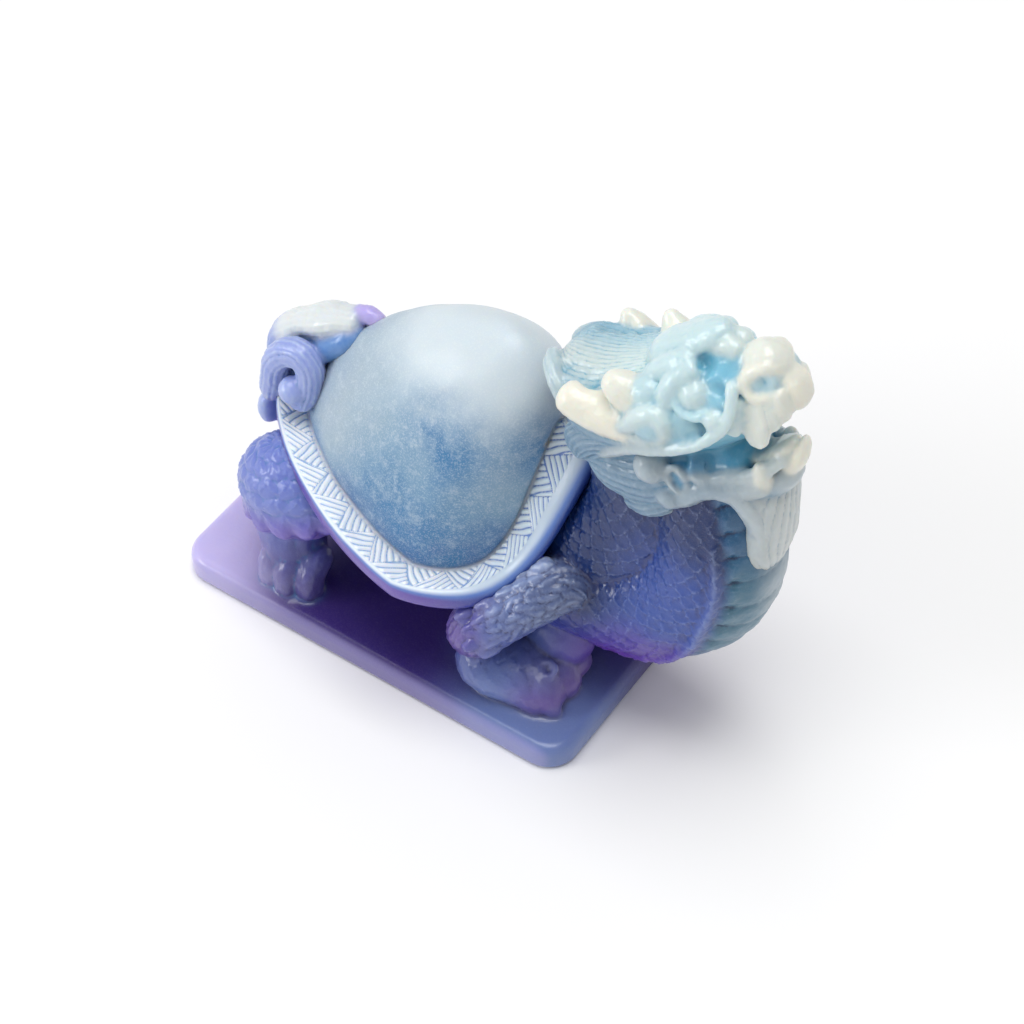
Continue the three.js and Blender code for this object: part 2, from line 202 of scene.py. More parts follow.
# The broad bands down the front of the neck: soft folds of one pitch, |sin|^0.7
def bandWave(along):
    return np.abs(np.sin(math.pi * along)) ** 0.7 - 0.6


plate = {"length": 52, "width": 32, "thickness": 3.3, "corner": 3.5, "round": 1.2, "chamfer": 0.4}


# The plate: a rounded rectangle (corner arcs about the corner centres) drawn in by an inset at each height
def makePlate():
    arc = np.linspace(0, turn / 4, 12)
    quarter = np.append(np.repeat(np.arange(4), 12), 0)
    angle = quarter * turn / 4 + np.append(np.tile(arc, 4), 0)
    signX = np.where((quarter == 0) | (quarter == 3), 1, -1)
    signY = np.where(quarter < 2, 1, -1)
    c = np.linspace(0, turn / 4, 9)
    insets = np.concatenate([[plate["chamfer"], 0], plate["round"] * (1 - np.cos(c))])
    heights = np.concatenate([[0, plate["chamfer"]], plate["thickness"] - plate["round"] * (1 - np.sin(c))])
    radius = plate["corner"] - insets[:, None]
    x = signX * (plate["length"] / 2 - plate["corner"]) + radius * np.cos(angle)
    y = signY * (plate["width"] / 2 - plate["corner"]) + radius * np.sin(angle)
    z = np.broadcast_to(heights[:, None], x.shape) - figure["plateTop"]
    shrink = np.array([1e-4, 0.5, 1, 1])[:, None]  # closes the flat faces towards their middles
    low = np.stack([x[:1] * shrink, y[:1] * shrink, z[:1] + 0 * shrink], -1)
    high = np.stack([x[-1:] * shrink[::-1], y[-1:] * shrink[::-1], z[-1:] + 0 * shrink], -1)
    keep(np.concatenate([low[:3], np.stack([x, y, z], -1), high[1:]]))


shell = {
    "width": 33.2, "front": 15.3, "rear": 26, "middle": 4.9, "point": 1.64, "frontPoint": 0.25,
    "rimHeight": 16, "frontRise": 16, "frontPower": 6.2, "rearRise": 4.3, "rearPower": 1.15,
    "band": 3.8, "wider": 0.4, "thickness": 3.2, "slope": -0.5, "aheadPower": 1.5,
    "edgeIn": 0.35, "edgeDown": 0.8, "edgeWider": 4.6, "edgeDeeper": 1.1,
    "domeHeight": 42, "domeLean": 4, "domeShrink": 1.1, "domeSwell": 1.35, "domeRound": 0.8, "footPower": 2.5,
    "weavePitch": 0.8, "weaveBlock": 5.4, "weaveHeight": 0.27, "seam": 0.25, "seamWide": 0.3, "wobble": 0.06,
    "columns": 900, "bandRows": 30, "domeRows": 36,
}


# The shell's edge at angle a: x = middle + reach·c^(2/point), y = half width·s^(2/point),
# z = rim height + front rise·max(c, 0)^frontPower + rear rise·max(-c, 0)^rearPower - drop,
# where point grows by frontPoint·max(c, 0) towards the head
def shellLine(angle, inset, drop, frontDrop):
    c, s = np.cos(angle), np.sin(angle)
    power = 2 / (shell["point"] + shell["frontPoint"] * np.maximum(c, 0))
    reach = np.where(c > 0, shell["front"], shell["rear"]) - inset
    x = shell["middle"] + reach * np.sign(c) * np.abs(c) ** power
    y = (shell["width"] / 2 - inset) * np.sign(s) * np.abs(s) ** power
    front = (shell["frontRise"] - frontDrop) * np.maximum(c, 0) ** shell["frontPower"]
    rear = shell["rearRise"] * np.maximum(-c, 0) ** shell["rearPower"]
    return np.stack([x, y, shell["rimHeight"] + front + rear - drop], -1)


# The shell is one closed grid of lines between shellLines: its underside, its side, an edge rounded as a
# quarter oval that is broader in front, the woven band, and the dome, which draws the band's inner line in
# by cos^shrink and up by sin^swell of its own angle, leaning forwards, while its rings turn into ovals
def makeShell():
    dense = np.linspace(0, turn, 4001)
    edge = shellLine(dense, 0, 0, 0)
    length = np.concatenate([[0], np.cumsum(np.linalg.norm(np.diff(edge, axis=0), axis=1))])
    angle = np.interp(np.linspace(0, length[-1], shell["columns"] + 1), length, dense)
    t, d = shell["thickness"], shell["slope"]
    c = np.maximum(np.cos(angle), 0)
    ahead = c ** shell["aheadPower"]
    b = shell["band"] * (1 + shell["wider"] * ahead)
    inwards = shell["edgeIn"] * (1 + shell["edgeWider"] * ahead)
    down = shell["edgeDown"] * (1 + shell["edgeDeeper"] * ahead)
    lines = [(b + 5, t, 2), (b + 3, t, 2), (b + 1, t, 2), (3, t, 2), (1.8, t, 1.6), (0.7, 0.9 * t, 1.3),
             (0.15, 0.72 * t, 1), (0, 0.55 * t, 0.5)]
    side = [-1] * 6 + [0, 0.4]
    for bend in np.linspace(0, turn / 4, 9):
        lines.append((inwards * (1 - math.cos(bend)), down * (1 - math.sin(bend)), 0))
        side.append(0.6 + 0.4 * math.sin(bend))
    share = np.linspace(0, 1, shell["bandRows"] + 1)[1:]
    for part in share:
        lines.append((inwards + part * (b - inwards), -d * part, 2 * d * part))
        side.append(1)
    rows = np.stack([shellLine(angle, *line) for line in lines])
    inner = rows[-1]
    phi = np.linspace(0, turn / 4, shell["domeRows"])[1:] ** 1.3 * (turn / 4) ** -0.3
    shrink = (np.cos(phi) ** shell["domeShrink"])[:, None]
    rise = (np.sin(phi) ** shell["domeSwell"])[:, None]
    blend = shell["domeRound"] * ease(phi, 0.1, 1.1)[:, None]
    reach = np.where(c > 0, inner[:, 0].max() - shell["middle"], shell["middle"] - inner[:, 0].min())
    x = (inner[:, 0] - shell["middle"]) * (1 - blend) + reach * np.cos(angle) * blend
    y = inner[:, 1] * (1 - blend) + inner[:, 1].max() * np.sin(angle) * blend
    x = shell["middle"] + x * shrink + shell["domeLean"] * rise
    foot = inner[:, 2] + shell["frontRise"] * (c ** shell["footPower"] - c ** shell["frontPower"]) * blend
    z = foot + (shell["domeHeight"] - foot) * rise
    low = rows[:1] * (0, 0, 1) + (shell["middle"], 0, 0)
    points = np.concatenate([low, rows, np.stack([x, y * shrink, z], -1)])
    row = np.concatenate([[0], np.zeros(len(lines) - len(share)), share, np.full(len(phi), 2.0)])
    across = row[:, None] + 0 * angle
    side = np.concatenate([[-1], side, np.ones(len(phi))])[:, None] + 0 * angle
    run = np.linspace(0, length[-1], shell["columns"] + 1)
    along = np.abs(run - length[-1] / 2)[None] + 0 * across
    onBand = (across > 0) & (across < 1)
    woven = np.where(onBand, weave(np.clip(across, 0, 1), along), 0)
    fromSeam = np.linalg.norm(points - inner[None], axis=-1)
    wobble = np.sin(points[..., 0] * 0.9 + 2 * np.sin(points[..., 1] * 0.5)) * np.sin(points[..., 2] * 0.8)
    relief = shell["weaveHeight"] * woven - shell["seam"] * np.exp(-(fromSeam / shell["seamWide"]) ** 2)
    relief += shell["wobble"] * wobble
    normal = np.cross(np.gradient(points, axis=1), np.gradient(points, axis=0))
    normal /= np.linalg.norm(normal, axis=-1, keepdims=True) + 1e-9
    points = points + normal * (relief * (side > 0))[..., None]
    shares = {"dome": (across > 1.5) * 1.0, "rim": (across < 1.5) * 1.0, "side": side,
              "relief": woven, "hollow": np.where(fromSeam < 2, 0.35 * (1 - fromSeam / 2), -0.2)}
    return joinForms("shell", [(points, shares)], tuple(shares))


trunk = {"middle": [-2, 0, 13.5], "sizes": [17.5, 11.5, 7.5]}
chest = {"middle": [10, 0, 12], "sizes": [8.5, 9.5, 6.5], "tilt": -15}

neck = {
    "knots": [[8, 0, 15.5, 9, 7.5], [17, 0, 13.6, 8.4, 7.8], [25, 0, 14, 7.8], [31.6, 0, 18, 7.2, 7.6],
              [34.6, 0, 25, 6.7, 7], [33.6, 0, 33, 5.6, 6.4], [30.4, 0, 41, 4.6, 5.8]],
    "nape": [[15, 0, 16.6, 6], [22, 0, 19.6, 6.4, 6.8], [26, 0, 27, 5.6, 6.4], [25, 0, 37, 4.8, 5.6]],
    "radius": 7.2, "napeRadius": 6.4, "scaleWide": 2.1, "scaleHigh": 1.35, "scaleLip": 0.11,
    "bandPitch": 2.7, "bandHeight": 0.34, "cord": 0.75, "cordWide": 0.07, "divide": 0.42,
}


# What the neck carries: scales at the sides, a raised cord, and broad bands in front.
# front is 1 at the very front and 0 at the sides; the cord's place moves towards the front lower down
def neckPattern(along, angle, s):
    front = -np.sin(angle)
    divide = neck["divide"] + neck["divide"] * ease(along, 0.62, 0.3)
    cord = neck["cord"] * np.exp(-((front - divide) / neck["cordWide"]) ** 2) * ease(along, 0.86, 0.74)
    inFront = ease(front, divide + 0.05, divide + 0.24)
    knobs = np.exp(-((front - divide - 0.2) / 0.1) ** 2) * ease(along, 0.45, 0.6)
    behind = ease(-front, 0.7, 0.95)
    girth = np.arccos(np.clip(front, -1, 1)) * neck["radius"]
    return {
        "across": girth / neck["scaleWide"], "along": s / neck["scaleHigh"], "carving": cord,
        "scales": neck["scaleLip"] * (1 - inFront) * (1 - behind),
        "bands": neck["bandHeight"] * inFront * (0.6 + 1.6 * knobs), "front": inFront,
    }


# The nape carries scales only
def napePattern(along, angle, s):
    girth = np.arccos(np.clip(-np.sin(angle), -1, 1)) * neck["napeRadius"]
    return {"across": girth / neck["scaleWide"], "along": s / neck["scaleHigh"], "scales": neck["scaleLip"]}


tufts = {
    "places": [[20, -7.2, 17, 3], [18.6, -8.3, 15.7, 3.3], [17.2, -9.3, 14.2, 3.4], [15.7, -10.1, 12.5, 3.5],
               [14.2, -10.9, 10.8, 3.5]],
    "bend": ((-1.2, 0, 0.8), (0, 0.25, 1.15), (0.9, 0.45, 0.95), (1.7, 0.1, 0.4)),
    "count": 5, "first": -30, "step": 25, "size": 0.75, "sunk": 0.5, "hair": 0.12,
}


# Tufts of hair on the upper arm: short limbs in staggered rows that bend down it and stand off its skin.
# A place is [x, y, z, radius]; around it a tuft's direction is -Y·cos a + (-0.6, 0, 0.8)·sin a,
# and sines of row and number make the tufts uneven. bend is (way along, way out, size) of its knots
def makeTufts():
    places = np.array(tufts["places"])
    down = places[-1, :3] - places[0, :3]
    down /= np.linalg.norm(down)
    for row, (x, y, z, radius) in enumerate(places):
        for number in range(tufts["count"]):
            a = tufts["first"] + tufts["step"] * number + 12 * (row % 2) + 7 * math.sin(7 * number + 3 * row)
            a = math.radians(a)
            out = np.array([-0.6 * math.sin(a), -math.cos(a), 0.8 * math.sin(a)])
            base = out * (radius - tufts["sunk"]) + (x, y, z) + down * 0.6 * math.sin(3 * number + row)
            size = tufts["size"] + 0.2 * math.sin(5 * row + 2 * number)
            knots = [[*(base + down * run + out * rise), size * share] for run, rise, share in tufts["bend"]]
            limb(knots, (0.2, 0.15), pattern=combed(5, tufts["hair"]), sides=True, milk=0.95 - 0.12 * row)


foreleg = {
    "arm": [[21.4, -3, 15.2, 2.8, 2.6], [20.4, -6.6, 17, 3.2, 2.9], [17.4, -9.2, 14.5, 4, 3],
            [13.4, -11.2, 9.8, 3.8, 3.1], [9.8, -11.8, 5.6, 2.8, 3]],
    "paw": [[10.2, -12, 4.2, 2.4, 2.8], [13.8, -10.6, 2.9, 3.9, 3.4], [18, -8.6, 2.2, 4.8, 3.2],
            [22, -7.6, 0.6, 4.4, 2.2]],
    "toes": ((-10.3, 22.2), (-7.6, 22.6), (-4.9, 21.8)),
    "spur": [[16.4, -11.6, 1.8, 0.9, 1.2], [19, -11.6, 2, 1.1, 1.5], [21.4, -11.2, 1.4, 1, 1.2],
             [22.6, -10.8, 0, 0.7]],
    "ring": [20.1, -9.4, 4.7], "ringWide": 0.85, "ringThick": 0.36,
    "curls": 0.2, "hair": 0.14, "scales": 0.05,
}


# The foreleg: a curly upper arm back to the elbow, a forearm along the plate, and a broad wedge of a paw
# with three toes, a spur and a raised ring
def makeFrontLeg():
    def arm(along, angle, s):
        low = ease(along, 0.6, 0.79)
        girth = np.arccos(np.clip(np.sin(angle), -1, 1)) * 4
        return {"across": girth / 1.4 + 0.45 * np.sin(1.1 * s),
                "along": -s / 1.5 + 0.5 * np.sin(1.3 * girth + 0.4 * s),
                "curls": foreleg["curls"] * (1 - low), "hair": foreleg["hair"] * low,
                "milk": 0.4 + 0.45 * low}
    def wedge(along, angle, s):
        girth = np.arccos(np.clip(np.sin(angle), -1, 1)) * 3.6
        return {"across": girth / 1.9, "along": -s / 1.3, "scales": foreleg["scales"],
                "milk": 0.75 * ease(along, 0.3, 0.75)}
    limb(foreleg["arm"], pattern=arm, sides=True)
    makeTufts()
    limb(foreleg["paw"], pattern=wedge, sides=True)
    lump([18.4, -4.5, 5.4], [4.2, 3.6, 4.8], sides=True)
    for y, reach in foreleg["toes"]:
        limb([[17, y, 2.6, 1.9], [20, y, 2.7, 2.1, 1.8], [reach, y, 0.4, 1.8, 1.2]], sides=True, milk=0.85)
    limb(foreleg["spur"], sides=True, milk=0.6)
    ring = np.linspace(0, turn, 9)[:, None]
    ring = np.cos(ring) * (1, 0, -0.2) + np.sin(ring) * (0, 0.9, 0.3)
    ring = foreleg["ring"] + foreleg["ringWide"] * ring
    limb(np.column_stack([ring, np.full(9, foreleg["ringThick"])]), (0.02, 0.02), sides=True, milk=1)
    lump([17, -8.9, -0.1], [7.6, 5.2, 0.5], sides=True)


hindLeg = {
    "thigh": {"middle": [-13.8, -8.4, 12], "sizes": [7.2, 5.4, 6.3], "tilt": -18},
    "scales": 0.07, "curls": 0.2, "hem": 0.15, "violet": 0.7,
    "calf": [[-15, -8.5, 9, 4.5], [-13.8, -9.8, 4, 3.7], [-12.6, -10.4, -0.8, 3.5, 3.3]],
    "foot": (-12.4, -12.2), "toeGap": 2.4,
}


# The hind leg: a scaly thigh with a lobed hem over a short foot with three toes
def makeRearLeg():
    def thighSwell(v, a):
        lobes = np.abs(np.sin(7.5 * a + 0.6 * np.sin(2 * a))) ** 0.7
        return hindLeg["hem"] * lobes * ease(v, 1.6, 1.95) * (1 - ease(v, 2, 2.2))
    def thigh(v, a, s):
        return {"across": 14 * a / turn + 0.25 * np.sin(5 * v), "along": -v * 6.4 / 2.2,
                "scales": hindLeg["scales"] * (1 - ease(v, 1.8, 2.1)),
                "curls": hindLeg["curls"] * (1 - ease(v, 1.4, 1.9)),
                "milk": 0.12, "violet": hindLeg["violet"] * ease(v, 1.4, 2)}
    lump(**hindLeg["thigh"], swell=thighSwell, pattern=thigh, sides=True)
    limb(hindLeg["calf"], pattern=combed(12, 0.1), sides=True)
    for number in (-1, 0, 1):
        x = hindLeg["foot"][0] + number * hindLeg["toeGap"]
        y = hindLeg["foot"][1] - (1 - abs(number)) * 0.5 + number * 0.3
        limb([[x, y + 3, 4.8, 1.5], [x, y, 2.6, 1.75, 1.6], [x + 0.3, y - 0.6, -0.4, 1.6, 1.4]],
             pattern=combed(5, 0.09), sides=True, milk=0.15)
    lump([-12.4, -11.2, -0.1], [4.9, 4, 0.5], sides=True)


tail = {
    "plume": [[-15.6, 0, 9, 4, 4.4], [-18.8, 0, 12.8, 3.4, 2.9], [-20, 0, 17.4, 3.2, 2.6],
              [-20.6, 0, 21.4, 2.8, 2.3], [-20.6, 0, 25, 2.5, 1.8], [-18.2, 0, 28, 2.4, 1.5],
              [-14.8, 0, 30.3, 2.3, 1.5], [-12, 0.3, 31.6, 2.1, 1.4], [-10.6, 0.6, 31.8, 1.5, 1.2]],
    "under": [[-18, -0.6, 23.6, 2.5, 2], [-14.8, -0.9, 26.8, 2.4, 1.8], [-11.6, -0.4, 29.6, 2.3, 1.7],
              [-9.6, 0.4, 30.8, 1.5, 1.4]],
    "tip": [[-11.6, 0.8, 32, 1.1], [-10.2, 1.2, 32.4, 1.1, 1], [-9, 1.3, 32, 1, 0.9],
            [-8.4, 1.2, 31, 0.6]],
    "lock": [[-21, -3.1, 17.2, 1.2], [-20.2, -3.7, 19.8, 1.5], [-19.5, -4, 22.4, 1.6],
             [-18.9, -4, 25, 1.65], [-17.5, -4, 26.9, 1.65], [-15.8, -4, 27.7, 1.65],
             [-14.6, -4.1, 27, 1.6], [-14.3, -4.3, 25, 1.55], [-14.6, -4.6, 23, 1.5],
             [-15.1, -5, 22, 1.4], [-15.9, -5.2, 22.8, 1.3]],
    "ball": 1.6, "farDrop": 2.6,
}


# The tail: a plume that falls forwards on the dome, and on each side a lock that winds down into a ball
def makeTail():
    def plume(v, a, s):
        return {"across": 14 * a / turn, "hair": 0.08, "cream": ease(v, 0.5, 0.58), "milk": 0.6,
                "deep": 0.6 * ease(v, 0.56, 0.46)}
    limb(tail["plume"], (0.15, 0.08), swell=lambda v, a: 0.1 * np.sin(27 * v) * ease(v, 0.5, 0.65),
         pattern=plume)
    for side in (1, -1):  # the far lock lies lower, so that the plume hides it
        drop = tail["farDrop"] * (side < 0)
        knots = [[x, side * y, z - drop, r] for x, y, z, r in tail["lock"]]
        limb(knots, (0.12, 0.05), pattern=combed(15, 0.13), milk=0.95)
        lump(np.add(knots[-1][:3], (0.1, -0.4 * side, 0.7)), [tail["ball"]] * 3, milk=1)
    lump([-21.4, -3.2, 15.6], [1.3, 1.5, 2.2], sides=True, milk=1)
    limb(tail["under"], deep=0.9, milk=0.2)
    limb(tail["tip"], (0.1, 0.1), violet=1)


head = {"place": [30, 0, 46.7], "pitch": 22}


# From the head's own axes (x to the snout, z up) to the figure: turned up by the pitch, then moved
def toHead(points):
    return turned(*np.moveaxis(points, -1, 0), -head["pitch"]) + head["place"]


onHead = {"head": 1, "place": toHead}  # what each form of the head is given


# A strand of the head, on both sides
def strand(knots, cream=0.3, rounding=(0.15, 0.15), **more):
    limb(knots, rounding, cream=cream, sides=True, **onHead, **more)


# A lump of the head, on both sides, with one radius or three
def knob(middle, sizes, cream=0.3, **more):
    sizes = sizes if isinstance(sizes, list) else [sizes] * 3
    lump(middle, sizes, cream=cream, sides=True, **onHead, **more)


# The skull, the crown of combed hair with its turned-down edge, and the pointed crest
def makeSkull():
    limb([[-13, 0, 1, 3.4, 2.6], [-7, 0, -1.6, 5.8, 4.4], [0, 0, -2, 6.2, 4.6], [4.6, 0, -1, 4.8, 3.9],
          [8.6, 0, 0.6, 3.4], [11.4, 0, 1.2, 2.4]], deep=0.6, **onHead)
    lump([-4.4, 0, -5], [7.2, 5.6, 6.2], **onHead)
    def fan(along, angle, s):
        wide = np.cos(angle)
        return {"across": 9 * wide * (1 + 0.8 * (1 - along) ** 2), "hair": 0.12,
                "cream": 0.15 + 0.3 * np.cos(3 * wide + 1), "deep": 0.3 * ease(np.abs(wide), 0.6, 0.9)}
    limb([[0.6, 0, 1.4, 3.4, 2], [-3, 0, 0.2, 5.4, 3.5], [-8, 0, -0.5, 6.2, 3.5], [-12, 0, 0.8, 5.8, 2.6],
          [-14.4, 0, 2.6, 4.4, 1.4]], (0.2, 0.1), pattern=fan, **onHead)
    for side, lift in ((1, 0), (-1, -0.9)):  # the crown's rolled edge lies lower on the far side
        edge = [[-14.9, -1.2, 3, 0.7], [-13.9, -3.2, 2.9, 0.9], [-12.7, -4.6, 2, 1], [-12, -5.2, 0.6, 0.9],
                [-11.6, -5.2, -1.2, 0.5]]
        limb([[x, side * y, z + lift, r] for x, y, z, r in edge], (0.15, 0.15), pattern=combed(6, 0.1),
             cream=0.3, **onHead)
    limb([[-3.4, 0, 2.8, 1.8, 1], [-0.6, 0, 4.4, 2.7, 1.7], [2.6, 0, 5.6, 2.6, 1.7], [5.2, 0, 6.7, 2, 1.5],
          [6.9, 0, 7.5, 1, 0.9]], (0.1, 0.12), pattern=combedWide(5, 0.04, 0.3), cream=0.3, **onHead)
    strand([[5.2, -0.5, 5.9, 1.2], [6.8, -0.7, 6, 1.1], [8.2, -0.8, 5.4, 0.9]], 0.5)
    limb([[2, 0, 3.6, 2.6, 2], [6, 0, 4.2, 2.4, 1.9], [9, 0, 4, 2, 1.6]], deep=0.7, **onHead)


# Brows, eyes, the antlers' two prongs, the ears' curls, and the long cord under the cheek
def makeBrows():
    strand([[-2.2, -3, 2.6, 1.1], [0.4, -3.2, 4.2, 1.3], [2.4, -2.8, 5, 1.3], [4, -2.3, 5.3, 1]], 0.3)
    strand([[4.4, -2.5, 5, 0.9], [3.4, -3.5, 4.5, 1.15], [2.3, -4.3, 3.9, 1.15], [1.5, -5, 3, 1.1],
            [1.2, -5.3, 2, 1], [0.9, -5.5, 0.8, 0.9], [0, -5.8, -0.6, 0.5]], 0.3, (0.08, 0.1))
    knob([4, -4.1, 2.4], 1.6, 0.35)
    strand([[2.4, -4.9, 3.2, 0.5], [2.5, -5.5, 2, 0.5], [3.4, -5.8, 1.1, 0.5], [4.8, -5.6, 0.9, 0.5],
            [5.7, -5, 1.6, 0.4]], 0.1)
    strand([[3.4, -1.4, 3.5, 1.6], [6, -1.8, 3.2, 1.7], [8.6, -1.8, 2.8, 1.5]], 0, deep=0.75)
    knob([6, -3.2, 1.6], 1.6, 0, deep=0.5)
    knob([6, -4.9, 0.3], 1.2, 0.4)
    knob([-1.2, -4.7, 2.2], 1.9, 0.3, deep=0.2)
    knob([0.4, -5.4, -1], [4, 1.6, 2.6], 0, deep=0.1)
    limb([[-1.2, -5.2, -1.4, 1.7, 2.1], [-4.6, -5.7, -0.8, 2, 2.3], [-7.2, -6, 0, 2, 2.1],
          [-9.2, -6.3, 1.2, 1.9], [-10.6, -6.6, 2.7, 1.5]], (0.2, 0.12), cream=1, **onHead)
    limb([[-1.4, -4.8, 0.4, 1.9], [-2.8, -5, 1.8, 2], [-4, -5.4, 3.2, 1.8], [-4.9, -5.8, 4.6, 0.9]],
         (0.2, 0.1), cream=0.9, **onHead)
    # on the far side the prongs are blunt cones
    limb([[-7, 5.4, -3.4, 2.2], [-9.6, 5.6, -0.4, 2.1], [-10.6, 5.9, 1.6, 1.5], [-11.1, 6, 3.2, 0.5]],
         (0.2, 0.06), cream=0.9, **onHead)
    limb([[-2, 4.6, -2, 2.2], [-3.9, 4.8, 1.4, 2], [-4.6, 5.2, 3, 1.3], [-5, 5.4, 4.3, 0.5]], (0.2, 0.06),
         cream=0.9, **onHead)
    strand([[-5.2, -7, -1.2, 0.4], [-3.6, -7, -0.4, 0.8], [-2.2, -7.1, 0.3, 0.95], [-0.9, -7, 1.1, 1],
            [0.3, -6.8, 1.4, 0.95], [1.1, -6.8, 0.6, 0.9], [1, -6.8, -0.5, 0.85], [0, -6.8, -1.4, 0.8],
            [-1.8, -6.8, -1.8, 0.8], [-4, -6.9, -1.5, 0.6]], 0.4, (0.1, 0.08))
    knob([-0.5, -7, -0.2], [1.7, 1, 1.4], 0.1, deep=0.15)
    strand([[-9.6, -5.8, -5.8, 0.6], [-5.6, -6.7, -3.9, 0.65], [-3.3, -7, -3.1, 0.65],
            [-0.7, -7.1, -2.8, 0.65], [1.7, -6.9, -2.5, 0.65], [3.7, -6.5, -2, 0.65], [5.4, -6, -1.3, 0.65],
            [6.9, -5.3, -0.4, 0.65], [7.8, -4.7, 1, 0.65], [8.1, -4, 2.5, 0.65], [7.9, -3.2, 3.9, 0.6]],
           0.35, (0.06, 0.06))


# The nose, the nostrils' wings, the front teeth and the folded upper lip that hangs from them
def makeMuzzle():
    lump([10.1, 0, 3.9], [2.6, 2.4, 2.5], cream=0.8, **onHead)
    lump([9.2, 0, 0.6], [3.4, 3.4, 3], cream=0.4, **onHead)
    limb([[11.6, 0, 3.2, 1.6, 1.2], [12.7, 0, 2.1, 1.6, 1], [12.8, 0, 0.4, 1.4, 0.9],
          [12.4, 0, -0.9, 0.9, 0.5]], cream=0.9, **onHead)
    knob([10.6, -1.8, 3.2], [1.6, 1, 1.4], 0.2, deep=0.4)
    strand([[12.2, -0.8, 4.2, 0.6], [10.9, -1.9, 4.7, 0.7], [9.5, -2.4, 4.2, 0.75], [9, -2.7, 3, 0.7],
            [9.7, -2.9, 2.1, 0.65], [10.8, -2.7, 1.9, 0.55], [11.6, -2.2, 2.4, 0.45]], 0.9, (0.08, 0.1))
    strand([[7.9, -3.4, 2.2, 0.6, 1], [7.4, -3.9, 0, 0.7, 1.1], [6.6, -4.1, -2, 0.5, 0.9]], 0.4, (0.1, 0.1))
    strand([[9.6, -2.8, 1.8, 0.6, 1.2], [9.3, -3.2, -0.8, 0.75, 1.6], [8.8, -3.2, -2.8, 0.7, 1.3],
            [8.3, -3.1, -4, 0.4, 0.5]], 0.7, (0.1, 0.12), pattern=combedWide(3, 0.08))
    strand([[11, -2.3, 2, 0.7, 1], [10.9, -2.5, -0.2, 0.8, 1.1], [10.3, -2.5, -2, 0.6, 0.7]], 0.6,
           (0.1, 0.15))
    strand([[12, -1.7, 2.6, 1, 0.8], [11.9, -1.8, 0.6, 1.1, 0.9], [11.4, -1.7, -1.3, 0.9, 0.7]], 0.8,
           (0.1, 0.12))
    strand([[12.7, -0.75, 2.8, 0.8], [12.9, -0.75, 1.2, 0.9], [12.7, -0.7, -0.3, 0.85, 0.8]], 1,
           (0.08, 0.1))


# The lower jaw with its lip, tongue, spike and fangs, and the beard under it
def makeJaw():
    limb([[-6, 0, -7.6, 5.4, 3], [0, 0, -9.2, 5.2, 2.2], [4.6, 0, -9.9, 4.2, 2], [7.8, 0, -9.3, 2.8, 1.9],
          [9.6, 0, -7.8, 1.6, 1.2]], pattern=lambda v, a, s: {"deep": 0.6 * ease(v, 0.85, 0.6)}, **onHead)
    strand([[0.6, -5.1, -7.1, 0.7], [2.2, -4.5, -7.5, 0.8], [4, -3.9, -7.7, 0.8], [5.8, -3.4, -7.9, 0.8],
            [7.4, -2.9, -7.6, 0.75], [8.8, -2, -7, 0.7], [9.9, -0.8, -6.3, 0.65]], 0.3, (0.08, 0.08))
    strand([[0.9, -4.6, -8.5, 1.2], [3, -4, -8.7, 1.2], [5.4, -3.3, -9.2, 1.3], [7.8, -2.4, -9, 1.3]], 0.2)
    limb([[-1, 0, -6.2, 4.6, 2.6], [3, 0, -6.9, 4.1, 2.5], [6.4, 0, -7.1, 2.8, 1.7]], deep=1, **onHead)
    limb([[4, 0, -8, 1.6, 0.8], [7, 0, -7, 2, 0.9], [9.4, 0, -5.9, 1.7, 0.7], [10.7, 0, -4.9, 0.9, 0.45]],
         cream=0.8, **onHead)
    limb([[8.4, 0, -8.6, 1.8, 1.4], [10.4, 0, -6.9, 1.3, 1], [11.5, 0, -5.4, 0.8, 0.6],
          [12.1, 0, -4.2, 0.3]], cream=1, **onHead)
    strand([[6.8, -2.7, -9.6, 1], [7.4, -2.8, -8, 1], [7.8, -2.8, -6.3, 0.55]], 0.8, (0.1, 0.1))
    limb([[6.8, 0, -9, 3.2, 2], [5.4, 0, -13.4, 3.8, 2.3], [3.6, 0, -18, 3.6, 2.1],
          [1.6, 0, -22.4, 2.4, 1.5]], swell=lambda v, a: 0.05 * np.sin(9 * v + 2 * a),
         pattern=combedWide(7, 0.14, 0.35), cream=0.25, **onHead)
    strand([[-3, -4.8, -10.6, 1.1, 1.2], [-1.2, -4.9, -10.2, 1.2, 1.3], [0.6, -4.7, -9.3, 1.3],
            [2.6, -4.2, -9, 1.3], [4.4, -3.6, -9.9, 1.3, 1.5], [5.2, -3.1, -12.2, 1.3, 1.6],
            [4.9, -2.6, -15, 1.1, 1.4], [4, -2.2, -18, 0.8, 1]], 0.2, (0.1, 0.1), pattern=combedWide(2, 0.1))


